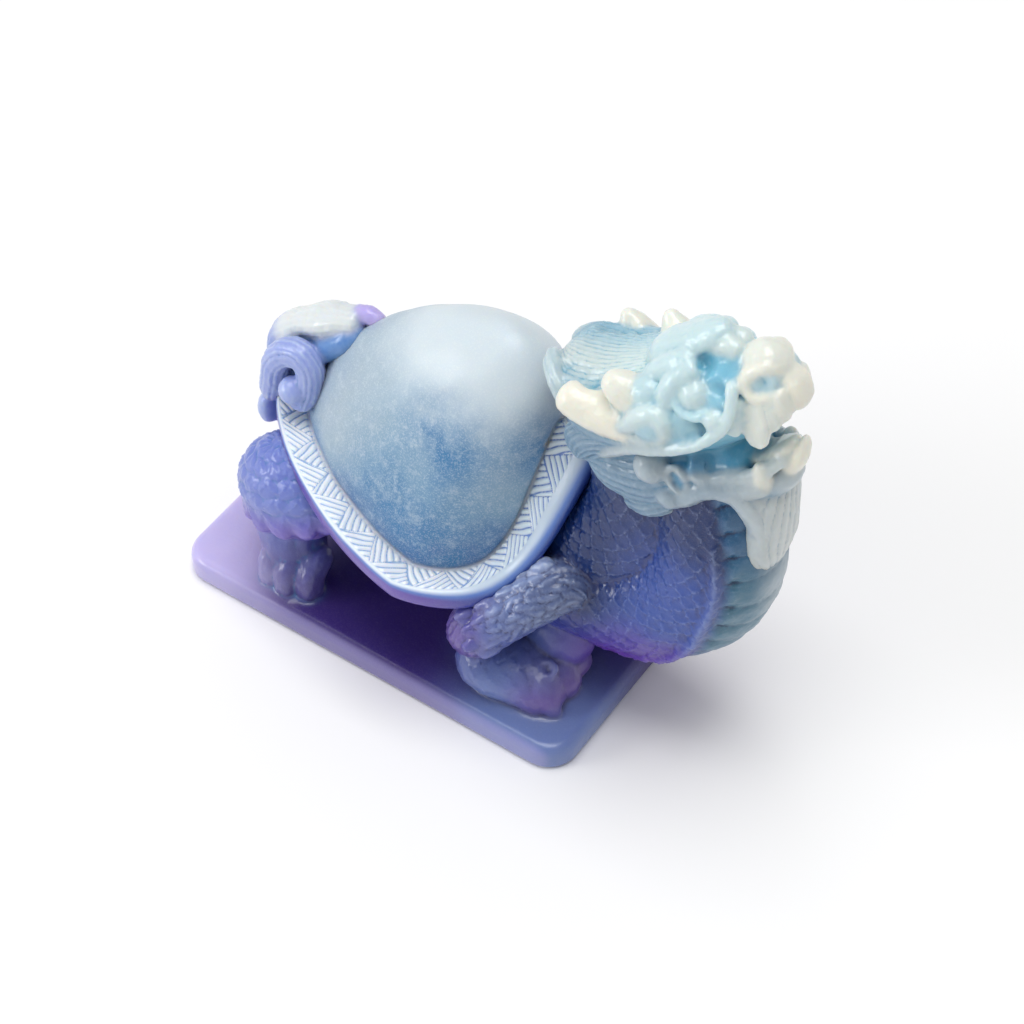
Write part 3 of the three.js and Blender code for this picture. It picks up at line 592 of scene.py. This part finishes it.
# Combed locks beside and behind the cheeks, with two round knobs and an almond-shaped ring
def makeLocks():
    strand([[-1, -5, -1, 1.8, 2.4], [-5.5, -5.2, -1.6, 2, 3.2], [-9.5, -5, -1, 1.8, 3],
            [-12.4, -4.4, 1, 0.8, 1.4]], 0, pattern=combed(18, 0.13, 0.5))
    strand([[-4, -5.2, -3.2, 1.1, 1.5], [-8, -5.4, -3.6, 1.4, 2.4], [-11.4, -5, -5, 1.2, 2.5],
            [-13.8, -4.6, -7.8, 0.5, 0.8]], 0, pattern=combed(20, 0.13, -0.6))
    strand([[-0.6, -4.6, -8, 1.2, 2.2], [-5, -4.8, -8.8, 1.8, 3.2], [-9, -4.8, -8.2, 1.6, 2.9],
            [-12.2, -4.6, -7.2, 0.6, 0.9]], 0, pattern=combed(17, 0.16, 0.4))
    strand([[-2.6, -4.6, -11, 0.9, 1.4], [-6, -4.8, -11.8, 1.4, 1.8], [-9.4, -4.4, -12.2, 0.8, 1]], 0,
           pattern=combed(12, 0.13))
    knob([-3, -5.9, -6], 1.8, 0.3)
    knob([-2.4, -5.3, -10], 1.5, 0.2)
    ring = np.linspace(0, turn, 13)
    c, s = np.cos(ring), np.sin(ring)
    knots = np.column_stack([-0.5 + 0.85 * c, -5.75 + 0.3 * c, -7.5 + 1.6 * s - 0.3 * c])
    strand([[*knot, 0.36] for knot in knots], 0.3, (0.02, 0.02))
    knob([-0.5, -4.9, -7.6], [1.3, 0.9, 1.7], 0, deep=0.9)
    strand([[0.4, -4.4, -6.2, 1.2], [2.4, -3.6, -6.9, 1.3]], 0, deep=0.6)


# Hollows pressed into the finished skin, in the head's axes: middle, radius and depth in mm of
# depth·(1 - (d/radius)^2)^2
hollows = [
    [[3.4, -6.2, -0.8], 2, 0.35], [[11.2, -2.7, 3.5], 1.1, 0.45],
    [[-11.6, -3.4, 3], 1.5, 0.4], [[-10, -3.9, 2.8], 1.7, 0.5], [[-8.2, -4.4, 2.4], 1.6, 0.5],
    [[-0.9, -2.4, 3.8], 1.2, 0.5], [[7, 0, -7.4], 2.4, 0.5], [[-1.2, -5.4, -7.8], 0.9, 0.5],
    [[2.4, -4.2, -6], 2.4, 0.6], [[5, -2.6, 4.8], 1.5, 0.5], [[6.6, -3.9, 2.6], 1.3, 0.4],
]


colourShares = ("cream", "deep", "milk", "violet")
carriedNames = ("across", "along", "carving", "hair", "scales", "curls", "bands", "front", "head",
                *colourShares)

skin = {
    "fill": 0.6, "wear": 0.12,  # how far a round of smoothing moves creases and crests
    "colourRounds": 10, "patternRounds": 2,
    "uneven": 0.05, "fine": 0.03, "headCalm": 0.3,
    "grooveRounds": 8, "hollowRounds": 60,
    "voxel": {"body": 0.17, "head": 0.13}, "fillRounds": {"body": 14, "head": 40},
}


def readVectors(items, name):
    flat = np.zeros(len(items) * 3, np.float32)
    items.foreach_get(name, flat)
    return flat.reshape(-1, 3).astype(float)


def writePoints(mesh, points):
    mesh.vertices.foreach_set("co", points.astype(np.float32).ravel())
    mesh.update()


def readShare(mesh, name):
    values = np.zeros(len(mesh.vertices), np.float32)
    mesh.attributes[name].data.foreach_get("value", values)
    return values.astype(float)


def writeShare(mesh, name, values):
    layer = mesh.attributes.get(name) or mesh.attributes.new(name, "FLOAT", "POINT")
    layer.data.foreach_set("value", values.astype(np.float32))


def addObject(name, data):
    item = bpy.data.objects.new(name, data)
    bpy.context.scene.collection.objects.link(item)
    return item


# A piece's forms as one mesh of grids, with what they carry as attributes
def joinForms(name, parts, names):
    points, faces, start = [], [], 0
    for grid, carried in parts:
        rows, columns = grid.shape[:2]
        index = np.arange(rows * columns).reshape(rows, columns) + start
        corners = (index[:-1, :-1], index[:-1, 1:], index[1:, 1:], index[1:, :-1])
        faces.append(np.stack(corners, -1).reshape(-1, 4))
        points.append(grid.reshape(-1, 3))
        start += rows * columns
    points, faces = np.concatenate(points), np.concatenate(faces)
    points = (points + (0, 0, figure["plateTop"])) * unit
    mesh = bpy.data.meshes.new(name)
    mesh.vertices.add(len(points))
    mesh.vertices.foreach_set("co", points.astype(np.float32).ravel())
    mesh.loops.add(faces.size)
    mesh.loops.foreach_set("vertex_index", faces.astype(np.int32).ravel())
    mesh.polygons.add(len(faces))
    mesh.polygons.foreach_set("loop_start", np.arange(0, faces.size, 4, dtype=np.int32))
    mesh.update(calc_edges=True)
    for share in names:
        values = [carried[share].ravel() if share in carried else np.zeros(grid[..., 0].size)
                  for grid, carried in parts]
        writeShare(mesh, share, np.concatenate(values))
    return addObject(name, mesh)


# Closes a grid's seam and poles by welding what coincides
def weld(piece):
    work = bmesh.new()
    work.from_mesh(piece.data)
    bmesh.ops.remove_doubles(work, verts=work.verts, dist=0.002 * unit)
    bmesh.ops.dissolve_degenerate(work, edges=work.edges, dist=0.0005 * unit)
    work.to_mesh(piece.data)
    work.free()
    piece.data.shade_smooth()


# Fuses overlapping forms into one skin of even cells that still carries their attributes
def fuse(piece, voxel):
    bpy.context.view_layer.objects.active = piece
    piece.select_set(True)
    mesh = piece.data
    mesh.remesh_voxel_size = voxel * unit
    mesh.remesh_voxel_adaptivity = 0
    mesh.use_remesh_preserve_attributes = True
    mesh.use_remesh_fix_poles = False
    mesh.use_remesh_preserve_volume = False
    bpy.ops.object.voxel_remesh()
    piece.select_set(False)


# Mean of each vertex's neighbours along the edges
class Neighbours:
    def __init__(self, mesh):
        pairs = np.zeros(len(mesh.edges) * 2, np.int32)
        mesh.edges.foreach_get("vertices", pairs)
        a, b = pairs.reshape(-1, 2).T
        self.here, self.there = np.concatenate([a, b]), np.concatenate([b, a])
        self.number = len(mesh.vertices)
        self.count = np.maximum(np.bincount(self.here, minlength=self.number), 1)

    def mean(self, values):
        if values.ndim == 1:
            return np.bincount(self.here, values[self.there], self.number) / self.count
        return np.stack([self.mean(values[:, n]) for n in range(values.shape[1])], 1)


# Softens the skin as a casting's is: creases fill up at full strength, crests only wear a little.
# Then the carving, the hollows and two sizes of fine waves (products of sines, as a cast skin's
# unevenness) are pushed out along the normals, and hollows are measured at two sizes as
# (smoothed - point)·normal
def finishSkin(piece, fillRounds):
    mesh = piece.data
    near = Neighbours(mesh)
    points = readVectors(mesh.vertices, "co")
    for step in range(fillRounds):
        normals = readVectors(mesh.vertex_normals, "vector")
        shift = near.mean(points) - points
        outwards = (shift * normals).sum(1, keepdims=True) > 0
        points = points + shift * np.where(outwards, skin["fill"], skin["wear"])
        if step % 3 == 0:
            writePoints(mesh, points)
    writePoints(mesh, points)
    shares = {name: readShare(mesh, name) for name in carriedNames}
    across, along = shares.pop("across"), shares.pop("along")
    for name in shares:
        for step in range(skin["colourRounds"] if name in colourShares else skin["patternRounds"]):
            shares[name] = near.mean(shares[name])
    relief = shares["carving"] + shares["hair"] * hairWave(across)
    relief += shares["scales"] * scaleNet(across, along) + shares["curls"] * curlNet(across, along)
    relief += shares["bands"] * bandWave(along * neck["scaleHigh"] / neck["bandPitch"])
    shares["relief"] = relief
    place = points / unit - (0, 0, figure["plateTop"])
    for middle, radius, depth in hollows:
        for side in (1, -1):
            away = np.linalg.norm(place - toHead(np.array(middle) * (1, side, 1)), axis=1) / radius
            relief -= depth * np.clip(1 - away ** 2, 0, 1) ** 2
    x, y, z = place.T
    uneven = skin["uneven"] * np.sin(1.9 * x + 2 * np.sin(1.1 * y)) * np.sin(1.7 * z + np.sin(2.3 * x))
    fine = skin["fine"] * np.sin(4.3 * x + 2 * np.sin(3.1 * z)) * np.sin(4.7 * y + 2 * np.sin(2.9 * x) + z)
    relief += (uneven + fine) * ease(z, 0.3, 2) * (1 - skin["headCalm"] * shares["head"])
    points = points + readVectors(mesh.vertex_normals, "vector") * (relief * unit)[:, None]
    writePoints(mesh, points)
    normals = readVectors(mesh.vertex_normals, "vector")
    smooth = points
    for step in range(skin["hollowRounds"]):
        smooth = near.mean(smooth)
        if step == skin["grooveRounds"] - 1:
            shares["groove"] = ((smooth - points) * normals).sum(1) / unit
    shares["hollow"] = ((smooth - points) * normals).sum(1) / unit
    for name, values in shares.items():
        writeShare(mesh, name, values)


# Thins the skin where it is flat, down to the number of triangles a piece may have
def thin(piece):
    ratio = figure["mostTriangles"] / (2 * len(piece.data.polygons))
    if ratio < 1:
        modifier = piece.modifiers.new("thin", "DECIMATE")
        modifier.ratio = ratio
        graph = bpy.context.evaluated_depsgraph_get()
        mesh = bpy.data.meshes.new_from_object(piece.evaluated_get(graph), preserve_all_data_layers=True,
                                               depsgraph=graph)
        mesh.validate()  # drops what the thinning left doubled
        piece.modifiers.clear()
        old = piece.data
        piece.data = mesh
        bpy.data.meshes.remove(old)
    piece.data.shade_smooth()


# Sets a node's sockets by their names, with underscores for spaces
def fillSockets(node, **values):
    for socket, value in values.items():
        node.inputs[socket.replace("_", " ")].default_value = value


# Some of these colours are painted light and shade: the plate's lavender rear, the body's paler rear, the
# dark neck blues behind the rim and under the head and jaw, the near-black of the body's hollows and the
# rim's greyer front; the dome's pale top is partly a painted reflection
casting = {
    "plateLitRear": (0.56, 0.5, 0.8), "plateDark": (0.05, 0.025, 0.19), "plateRight": (0.17, 0.235, 0.48),
    "rear": (0.15, 0.2, 0.56), "flank": (0.03, 0.08, 0.36), "neckLow": (0.12, 0.028, 0.37),
    "neckShade": (0.002, 0.022, 0.13), "neckFront": (0.06, 0.18, 0.27), "neckPale": (0.58, 0.62, 0.64),
    "headLow": (0.2, 0.31, 0.42), "headHigh": (0.45, 0.68, 0.76), "headFront": (0.62, 0.66, 0.65),
    "milkRear": (0.34, 0.41, 0.74), "milkLow": (0.14, 0.08, 0.32), "milkFront": (0.27, 0.34, 0.56),
    "crest": (0.5, 0.58, 0.74), "milkHead": (0.74, 0.8, 0.8), "cream": (0.82, 0.8, 0.7),
    "plume": (0.7, 0.74, 0.75), "tip": (0.5, 0.43, 0.78), "hem": (0.19, 0.1, 0.48),
    "plateSide": (0.36, 0.33, 0.6), "hollowShade": (0.02, 0.015, 0.1), "deepRear": (0.05, 0.23, 0.52),
    "deepMouth": (0.04, 0.25, 0.44), "deepHead": (0.12, 0.43, 0.6), "pawBlue": (0.18, 0.2, 0.43),
    "underJawShade": (0.03, 0.13, 0.27),
    "domeHigh": (0.62, 0.7, 0.75), "domeMiddle": (0.24, 0.39, 0.53), "domeLow": (0.1, 0.19, 0.4),
    "domeBlue": (0.04, 0.2, 0.42), "domePale": (0.36, 0.46, 0.55), "rimWhite": (0.8, 0.84, 0.89),
    "rimFrontShade": (0.56, 0.65, 0.72), "rimBlue": (0.33, 0.5, 0.74), "rimSide": (0.13, 0.24, 0.58),
    "rimUnder": (0.15, 0.09, 0.42), "stain": (0.42, 0.36, 0.28),
    "clouds": (((7, -9.3, 31), 4.8), ((0.7, -11.5, 21.5), 5), ((9, -11, 19), 5), ((14, -3, 31), 3.5)),
    "stains": (((14.6, -2.2, 31), 0.6), ((11, -6.6, 32.6), 0.22), ((10.2, -7.4, 31.4), 0.15)),
}


# The colour is laid in layers, mixed by place, by what the skin carries and by its hollows; some layers are
# painted light and shade
def castingMaterial():
    material = bpy.data.materials.new("milkyCasting")
    material.use_nodes = True
    nodes, links = material.node_tree.nodes, material.node_tree.links
    nodes.clear()
    def add(kind, **settings):
        node = nodes.new(kind)
        for name, value in settings.items():
            setattr(node, name, value)
        return node
    def share(name):
        return add("ShaderNodeAttribute", attribute_name=name).outputs["Fac"]
    def remap(value, low, high, to=(0, 1)):
        node = add("ShaderNodeMapRange", clamp=True, interpolation_type="SMOOTHSTEP")
        links.new(value, node.inputs["Value"])
        fillSockets(node, From_Min=low, From_Max=high, To_Min=to[0], To_Max=to[1])
        return node.outputs["Result"]
    def reckon(operation, a, b):
        node = add("ShaderNodeMath", operation=operation)
        for socket, value in zip(node.inputs, (a, b)):
            if isinstance(value, (int, float)):
                socket.default_value = value
            else:
                links.new(value, socket)
        return node.outputs[0]
    def times(a, b):
        return reckon("MULTIPLY", a, b)
    def plus(a, b):
        return reckon("ADD", a, b)
    def mix(factor, a, b):
        node = add("ShaderNodeMix", data_type="RGBA")
        links.new(factor, node.inputs[0])
        for socket, value in ((node.inputs[6], a), (node.inputs[7], b)):
            if isinstance(value, str):
                socket.default_value = (*casting[value], 1)
            else:
                links.new(value, socket)
        return node.outputs[2]
    def layers(colour, *steps):
        for factor, over in steps:
            colour = mix(factor, colour, over)
        return colour
    place = add("ShaderNodeTexCoord").outputs["Object"]
    def noise(size, detail=3, rough=0.55):
        node = add("ShaderNodeTexNoise")
        links.new(place, node.inputs["Vector"])
        fillSockets(node, Scale=1 / (size * unit), Detail=detail, Roughness=rough)
        return node.outputs["Fac"]
    def near(point, radius, blur):
        node = add("ShaderNodeVectorMath", operation="DISTANCE")
        links.new(place, node.inputs[0])
        node.inputs[1].default_value = Vector((point[0], point[1], point[2] + figure["plateTop"])) * unit
        return remap(node.outputs["Value"], (radius + blur) * unit, (radius - blur) * unit)
    separate = add("ShaderNodeSeparateXYZ")
    links.new(place, separate.inputs[0])
    x, y, height = (reckon("DIVIDE", output, unit) for output in separate.outputs)
    drift = times(reckon("SUBTRACT", noise(13, 2), 0.5), 14)
    level = plus(height, drift)
    ahead = plus(x, drift)
    groove, hollow = share("groove"), share("hollow")
    # plate and legs: lavender behind as painted light from the left, dark violet in the middle deepened as
    # painted shade under the body, bluer at the front corner; above them blue, lighter behind as painted
    # light from the left
    low = layers(
        # lavender rear: painted light from the left; dark violet middle: the plate's violet deepened as
        # painted shade under the body
        "plateLitRear", (remap(ahead, -24, -9), "plateDark"),
        (times(remap(ahead, 6, 20), remap(y, 4, -10)), "plateRight"),
        (remap(y, -15.2, -15.9, (0, 0.5)), "plateSide"))
    pawMilk = mix(times(remap(x, 13, 17), remap(height, 5.5, 8.5)), "milkLow", "pawBlue")
    # milky forms lavender towards the rear, as painted light from the left
    milk = mix(remap(x, -14, 2), "milkRear", mix(remap(level, 14, 20), pawMilk, "milkFront"))
    # how strongly crests are paled, more on milky forms
    crestPaling = plus(0.22, times(share("milk"), 0.55))
    # the colour of painted shade in the body's hollows and grooves: deep blue behind, near-black violet in
    # front
    deep = mix(remap(x, -12, 0), "deepRear", "hollowShade")
    body = layers(
        # blue above the plate, periwinkle towards the rear as painted light from the left
        low, (remap(level, 6, 16), mix(remap(ahead, -13, 3), "rear", "flank")),
        (times(remap(x, 16, 26), times(remap(height, 4, 7), remap(level, 22, 10))), "neckLow"),
        # painted shade: near-black blue on the neck behind the rim's front and high up under the head
        (times(remap(x, 30, 23), times(remap(x, 8, 15), remap(level, 13, 22))), "neckShade"),
        (times(remap(level, 24, 38), remap(x, 18, 24)), "neckShade"),
        (share("deep"), "deepRear"),
        # the front bands teal, turning darker blue higher up as painted shade under the jaw
        (times(share("front"), remap(height, 8, 20)), mix(remap(level, 26, 38), "neckFront", "underJawShade")),
        (times(share("front"), remap(x, 40.2, 43.2)), "neckPale"),
        (share("milk"), milk),
        (times(remap(groove, -0.02, -0.14), crestPaling), mix(remap(level, 13, 20), milk, "crest")),
        # hollows and grooves of the body darkened: painted shade
        (remap(hollow, 0.1, 0.9, (0, 0.85)), deep),
        (remap(groove, 0, 0.1, (0, 0.5)), deep),
        (share("violet"), mix(remap(height, 20, 26), "hem", "tip")))
    # the head: turquoise in the hollows, milky on the crests, greyer low down
    pool = mix(remap(height, 43, 49), "deepMouth", "deepHead")
    face = layers(
        "headLow", (remap(height, 43, 53), "headHigh"),
        (remap(x, 35, 44, (0, 0.75)), "headFront"),
        (share("deep"), pool),
        (remap(groove, -0.01, -0.13, (0, 0.5)), "milkHead"),
        (times(share("cream"), remap(hollow, 0.7, -0.1)), "cream"),
        (remap(hollow, 0.02, 0.5, (0, 0.9)), pool),
        (remap(groove, 0, 0.1, (0, 0.5)), pool))
    # the shell: cloudy, paler at the top partly as a painted reflection, with blue patches; its rim white
    # with blue grooves, greyer at the front as painted shade
    clouds = [(times(near(point, radius, 0.9 * radius), remap(noise(4, 4), 0.3, 0.65, (0.35, 1))), "domeBlue")
              for point, radius in casting["clouds"]]
    dome = layers(
        # the dome paler higher up: its pale colour there is partly a painted reflection
        "domeLow", (remap(level, 19, 28), "domeMiddle"), (remap(level, 29, 43), "domeHigh"),
        (times(remap(ahead, 0, -9), remap(level, 22, 28)), "domePale"), *clouds,
        (remap(noise(1.4, 5, 0.75), 0.48, 0.7, (0, 0.35)), "domeHigh"))
    ruled = remap(share("relief"), 0.1, -0.35)
    rim = layers(
        # greyer and bluer towards the front: painted shade on the side away from the light
        mix(ruled, "rimWhite", "rimBlue"), (remap(x, 7, 17), mix(ruled, "rimFrontShade", "rimSide")),
        (remap(share("side"), 0.995, 0.82), "rimSide"),
        (remap(share("side"), 0.88, 0.6), mix(remap(x, 8, 16), "rimUnder", "flank")))
    stains = [(times(near(point, radius, 0.6 * radius), remap(noise(0.5), 0.35, 0.6)), "stain")
              for point, radius in casting["stains"]]
    grain = remap(noise(0.18, 2, 0.7), 0.46, 0.7)
    colour = layers(
        body, (share("head"), face), (times(share("cream"), reckon("SUBTRACT", 1, share("head"))), "plume"),
        (share("dome"), dome), (share("rim"), rim), *stains,
        (times(grain, plus(times(share("dome"), 0.3), 0.03)), "milkHead"))
    surface = add("ShaderNodeBsdfPrincipled")
    links.new(colour, surface.inputs["Base Color"])
    links.new(plus(times(share("dome"), 0.22), 0.28), surface.inputs["Roughness"])
    fillSockets(surface, IOR=1.49, Coat_Weight=0.16, Coat_Roughness=0.2, Subsurface_Weight=0.7,
                Subsurface_Radius=(0.8, 1.1, 1.5), Subsurface_Scale=0.8 * unit)
    bump = add("ShaderNodeBump")
    fillSockets(bump, Strength=0.45, Distance=0.07 * unit)
    links.new(noise(0.55, 3, 0.6), bump.inputs["Height"])
    links.new(bump.outputs["Normal"], surface.inputs["Normal"])
    links.new(surface.outputs["BSDF"], add("ShaderNodeOutputMaterial").inputs["Surface"])
    return material


studio = {
    "lens": 95.77, "position": (118.7, -159.5, 239), "target": (0.3, 12.7, 0),
    "floorColour": (0.95, 0.95, 0.95), "floorReach": 1.5, "world": 0.45,
    "lights": (("topLight", (0, 10, 1000), (600, 600), 6), ("leftLight", (-930, -900, 470), (570, 450), 6)),
}


# Puts an object at a place and turns its -Z axis to a target, both in figure millimetres
def aimAt(item, position, target):
    item.location = Vector(position) * unit
    item.rotation_euler = (Vector(target) * unit - item.location).to_track_quat("-Z", "Y").to_euler()


# The camera, at the angle of the photograph, looking straight at its target
def makeCamera():
    data = bpy.data.cameras.new("camera")
    data.lens = studio["lens"]
    data.sensor_width = 36
    data.clip_start, data.clip_end = 0.005, 20
    bpy.context.scene.camera = addObject("camera", data)
    aimAt(bpy.context.scene.camera, studio["position"], studio["target"])


# A soft box light at a place, aimed at the figure: position and size in figure millimetres
def softBox(name, position, size, power):
    data = bpy.data.lights.new(name, "AREA")
    data.shape = "RECTANGLE"
    data.size, data.size_y = size[0] * unit, size[1] * unit
    data.energy = power
    aimAt(addObject(name, data), position, (0, 0, 20))


def makeStudio():
    mesh = bpy.data.meshes.new("floor")
    r = studio["floorReach"]
    mesh.from_pydata([(-r, -r, 0), (r, -r, 0), (r, r, 0), (-r, r, 0)], [], [(0, 1, 2, 3)])
    material = bpy.data.materials.new("paleFloor")
    material.use_nodes = True
    surface = material.node_tree.nodes["Principled BSDF"]
    fillSockets(surface, Base_Color=(*studio["floorColour"], 1), Roughness=0.7, Specular_IOR_Level=0.2)
    mesh.materials.append(material)
    floor = addObject("floor", mesh)
    world = bpy.data.worlds.new("world")
    world.use_nodes = True
    fillSockets(world.node_tree.nodes["Background"], Color=(1, 1, 1, 1), Strength=studio["world"])
    bpy.context.scene.world = world
    for light in studio["lights"]:
        softBox(*light)
    bpy.context.scene.view_settings.view_transform = "Standard"


makeCamera()
makeStudio()
print("camera and studio made")
makePlate()
lump(**trunk)
lump(**chest)
limb(neck["nape"], (0.2, 0.1), pattern=napePattern)
limb(neck["knots"], (0.1, 0.1), pattern=neckPattern)
makeFrontLeg()
makeRearLeg()
makeTail()
makeSkull()
makeBrows()
makeMuzzle()
makeJaw()
makeLocks()
shellPiece = makeShell()
weld(shellPiece)
print("shell made:", len(shellPiece.data.polygons), "faces")
pieces = [shellPiece]
for name in forms:
    piece = joinForms(name, forms[name], carriedNames)
    fuse(piece, skin["voxel"][name] * (1))
    print(name, "fused:", len(piece.data.vertices), "vertices")
    finishSkin(piece, skin["fillRounds"][name] // (1))
    thin(piece)
    print(name, "finished:", len(piece.data.polygons), "faces")
    pieces.append(piece)
material = castingMaterial()
for piece in pieces:
    piece.data.materials.append(material)
    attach(piece, "root")
    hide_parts("dragon_turtle")
